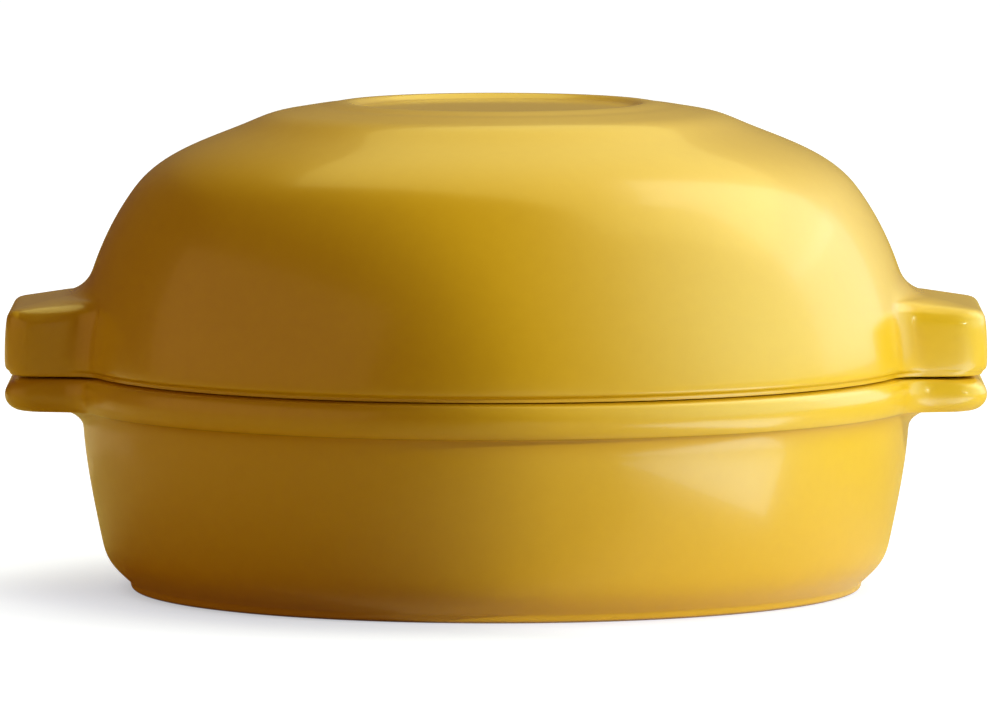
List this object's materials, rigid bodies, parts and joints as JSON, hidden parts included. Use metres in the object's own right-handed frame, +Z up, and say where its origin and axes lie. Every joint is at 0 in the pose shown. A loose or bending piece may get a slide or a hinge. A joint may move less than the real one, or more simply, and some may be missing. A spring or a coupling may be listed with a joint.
{
  "type": "cheese baker",
  "caption": "Round lidded stoneware baker: a shallow footed dish with side lugs and a domed lid with matching lugs, for baking a whole soft cheese.",
  "frame": {"origin": "centre of the foot ring, on the table plane", "axes": "+X through the lugs, +Y from the front to the back, +Z up the round body's axis"},
  "size_m": [0.1962, 0.1716, 0.0977],
  "materials": {
    "glaze": "glossy honey-yellow glaze"
  },
  "bodies": {
    "dish": {"dish": "glaze"},
    "lid": {"lid": "glaze"}
  },
  "joints": [
    {"name": "lid_lift", "type": "slide", "parent": "dish", "child": "lid", "axis": [0, 0, 1], "range_m": [0, 0.08]}
  ]
}
